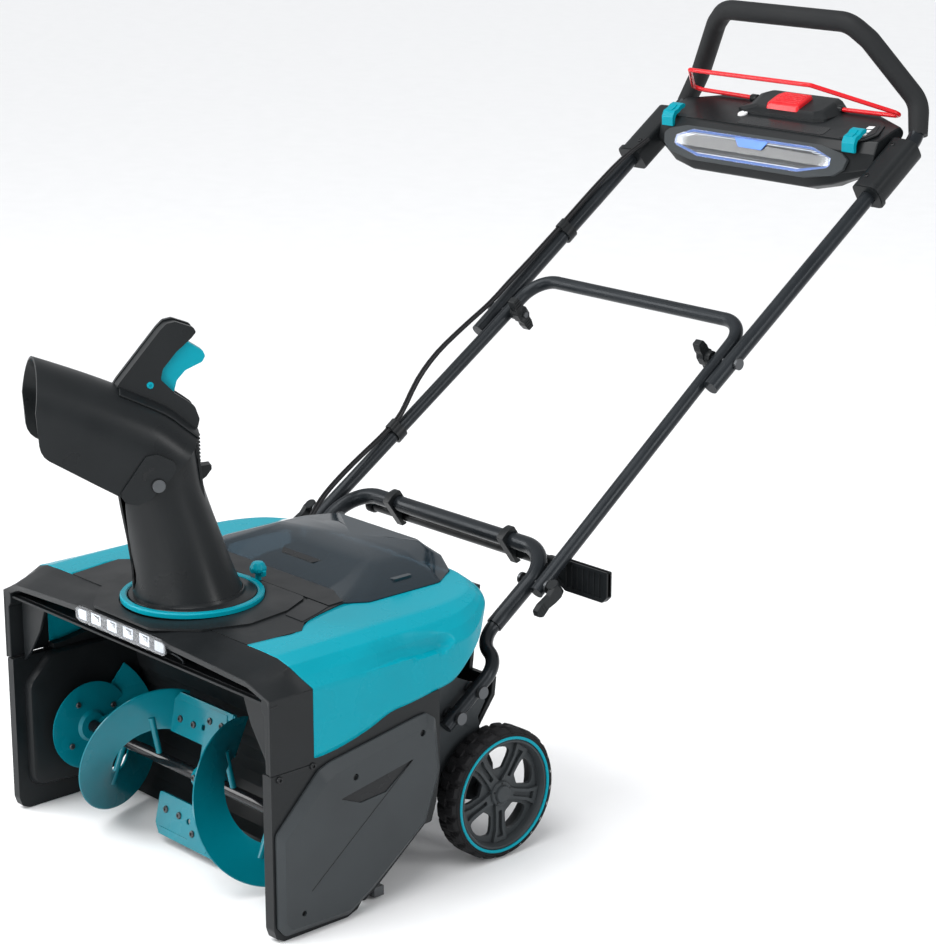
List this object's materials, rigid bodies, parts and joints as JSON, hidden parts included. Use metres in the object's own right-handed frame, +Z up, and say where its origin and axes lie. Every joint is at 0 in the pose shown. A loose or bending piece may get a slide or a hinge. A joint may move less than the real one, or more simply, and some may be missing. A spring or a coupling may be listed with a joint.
{
  "type": "battery snow blower",
  "caption": "Walk-behind battery snow blower with a paddle auger, turning chute with tilting deflector, wheels and a folding handle.",
  "frame": {"origin": "on the ground, under the middle of the machine's overall box", "axes": "+X towards the belt cover (right side as the user stands), +Y towards the user's grip, +Z up"},
  "size_m": [0.57, 1.3502, 0.9951],
  "materials": {
    "black_plastic": "satin moulded",
    "grey_plastic": "fine-grained moulded",
    "teal_plastic": "gloss moulded",
    "teal_paint": "painted steel",
    "tube_paint": "powder coat",
    "steel": "plated",
    "red_paint": "powder coat",
    "red_plastic": "gloss",
    "tyre_rubber": "matt",
    "belt_rubber": "matt",
    "foam": "foam",
    "clear_lens": "clear",
    "smoky_lens": "smoked clear",
    "white_plastic": "gloss"
  },
  "bodies": {
    "chassis": {"auger_housing": "black_plastic", "side_plate_left": "black_plastic", "side_plate_right": "black_plastic", "belt_cover": "grey_plastic", "top_hood": "black_plastic", "side_cover_left": "teal_plastic", "side_cover_right": "teal_plastic", "rear_housing": "black_plastic", "scraper_bar": "steel", "battery_tray": "black_plastic", "controller_box": "grey_plastic", "motor": "steel", "shaft_bearings": "steel", "axle": "steel", "handle_brackets": "tube_paint", "frame_bolts": "steel", "lower_tubes": "tube_paint", "lower_frame": "tube_paint", "tool_clips": "grey_plastic", "chute_ring": "teal_plastic", "led_bar": "clear_lens", "drive_belt": "belt_rubber"},
    "auger": {"auger_shaft": "steel", "auger_flights": "teal_paint", "auger_paddles": "teal_paint", "auger_pulley": "grey_plastic"},
    "motor_rotor": {"motor_rotor": "steel"},
    "wheel_left": {"wheel_left": "grey_plastic", "tyre_left": "tyre_rubber"},
    "wheel_right": {"wheel_right": "grey_plastic", "tyre_right": "tyre_rubber"},
    "chute": {"chute_tube": "grey_plastic", "pivot_screws": "steel"},
    "chute_lock": {"chute_lock": "teal_plastic"},
    "deflector": {"deflector": "grey_plastic", "deflector_handle": "grey_plastic"},
    "chute_trigger": {"chute_trigger": "teal_plastic"},
    "battery_lid": {"battery_lid": "smoky_lens"},
    "battery_left": {"battery_left": "black_plastic"},
    "battery_right": {"battery_right": "black_plastic"},
    "cleaning_tool": {"cleaning_tool": "black_plastic"},
    "lower_handle": {"middle_frame": "tube_paint", "fold_bolts": "steel", "lower_cable_clip": "black_plastic"},
    "clamp_lever_left": {"clamp_lever_left": "black_plastic"},
    "clamp_lever_right": {"clamp_lever_right": "black_plastic"},
    "upper_handle": {"upper_frame": "tube_paint", "upper_cable_clip": "black_plastic", "control_base": "black_plastic", "control_top": "black_plastic", "lamp_lens": "clear_lens", "foam_grip": "foam", "control_cables": "belt_rubber"},
    "bail": {"bail": "red_paint"},
    "lock_button": {"lock_button": "red_plastic"},
    "power_button": {"power_button": "white_plastic"},
    "wing_knob_left": {"wing_knob_left": "black_plastic"},
    "wing_knob_right": {"wing_knob_right": "black_plastic"},
    "panel_latch_left": {"panel_latch_left": "teal_plastic"},
    "panel_latch_right": {"panel_latch_right": "teal_plastic"}
  },
  "joints": [
    {"name": "auger_spin", "type": "hinge", "parent": "chassis", "child": "auger", "pos_m": [0, -0.478, 0.104], "axis": [1, 0, 0], "continuous": true},
    {"name": "motor_spin", "type": "hinge", "parent": "chassis", "child": "motor_rotor", "pos_m": [0, -0.348, 0.2], "axis": [1, 0, 0], "continuous": true},
    {"name": "left_wheel_spin", "type": "hinge", "parent": "chassis", "child": "wheel_left", "pos_m": [-0.261, -0.204, 0.086], "axis": [1, 0, 0], "continuous": true},
    {"name": "right_wheel_spin", "type": "hinge", "parent": "chassis", "child": "wheel_right", "pos_m": [0.261, -0.204, 0.086], "axis": [1, 0, 0], "continuous": true},
    {"name": "chute_turn", "type": "hinge", "parent": "chassis", "child": "chute", "pos_m": [0, -0.4765, 0.344], "axis": [0, 0, 1], "range_deg": [-60, 125]},
    {"name": "chute_lock_lift", "type": "slide", "parent": "chassis", "child": "chute_lock", "axis": [0, 0, 1], "range_m": [0, 0.006], "stiffness_N_per_m": 500},
    {"name": "deflector_tilt", "type": "hinge", "parent": "chute", "child": "deflector", "pos_m": [-0.02113, -0.52182, 0.508], "axis": [0.9063, -0.4226, 0], "range_deg": [0, 55]},
    {"name": "chute_trigger_pull", "type": "hinge", "parent": "deflector", "child": "chute_trigger", "pos_m": [-0.01099, -0.50006, 0.624], "axis": [0.9063, -0.4226, 0], "range_deg": [0, 10], "stiffness_Nm_per_rad": 0.5},
    {"name": "battery_lid_open", "type": "hinge", "parent": "chassis", "child": "battery_lid", "pos_m": [0, -0.156, 0.352], "axis": [-1, 0, 0], "range_deg": [0, 95]},
    {"name": "left_battery_lift", "type": "slide", "parent": "chassis", "child": "battery_left", "axis": [0, 0, 1], "range_m": [0, 0.028]},
    {"name": "right_battery_lift", "type": "slide", "parent": "chassis", "child": "battery_right", "axis": [0, 0, 1], "range_m": [0, 0.028]},
    {"name": "cleaning_tool_pull", "type": "slide", "parent": "chassis", "child": "cleaning_tool", "axis": [1, 0, 0], "range_m": [0, 0.28]},
    {"name": "lower_fold", "type": "hinge", "parent": "chassis", "child": "lower_handle", "pos_m": [0, -0.08584, 0.32506], "axis": [1, 0, 0], "range_deg": [0, 55], "deforming": ["control_cables"]},
    {"name": "left_clamp_turn", "type": "hinge", "parent": "lower_handle", "child": "clamp_lever_left", "pos_m": [-0.2454, -0.08584, 0.32506], "axis": [0, 0.5736, -0.8192], "range_deg": [0, 110]},
    {"name": "right_clamp_turn", "type": "hinge", "parent": "lower_handle", "child": "clamp_lever_right", "pos_m": [0.2454, -0.08584, 0.32506], "axis": [0, -0.5736, 0.8192], "range_deg": [0, 110]},
    {"name": "upper_fold", "type": "hinge", "parent": "lower_handle", "child": "upper_handle", "pos_m": [0, 0.25575, 0.56424], "axis": [1, 0, 0], "range_deg": [-150, 0], "deforming": ["control_cables"]},
    {"name": "bail_squeeze", "type": "hinge", "parent": "upper_handle", "child": "bail", "pos_m": [0, 0.638, 0.852], "axis": [1, 0, 0], "range_deg": [-45, 0], "stiffness_Nm_per_rad": 0.9, "springref_deg": 20.05},
    {"name": "lock_button_press", "type": "slide", "parent": "upper_handle", "child": "lock_button", "axis": [0, 0, -1], "range_m": [0, 0.004], "stiffness_N_per_m": 400, "springref_m": -0.001},
    {"name": "power_button_press", "type": "slide", "parent": "upper_handle", "child": "power_button", "axis": [0, 0, -1], "range_m": [0, 0.0025], "stiffness_N_per_m": 400, "springref_m": -0.001},
    {"name": "left_knob_turn", "type": "hinge", "parent": "lower_handle", "child": "wing_knob_left", "pos_m": [-0.186, 0.25575, 0.56424], "axis": [1, 0, 0], "continuous": true},
    {"name": "right_knob_turn", "type": "hinge", "parent": "lower_handle", "child": "wing_knob_right", "pos_m": [0.186, 0.25575, 0.56424], "axis": [1, 0, 0], "continuous": true},
    {"name": "left_latch_open", "type": "hinge", "parent": "upper_handle", "child": "panel_latch_left", "pos_m": [-0.174, 0.574, 0.838], "axis": [-1, 0, 0], "range_deg": [0, 60]},
    {"name": "right_latch_open", "type": "hinge", "parent": "upper_handle", "child": "panel_latch_right", "pos_m": [0.174, 0.574, 0.838], "axis": [-1, 0, 0], "range_deg": [0, 60]}
  ],
  "couplings": [
    {"joint": "motor_spin", "follows": "auger_spin", "ratio": 3.4444}
  ]
}
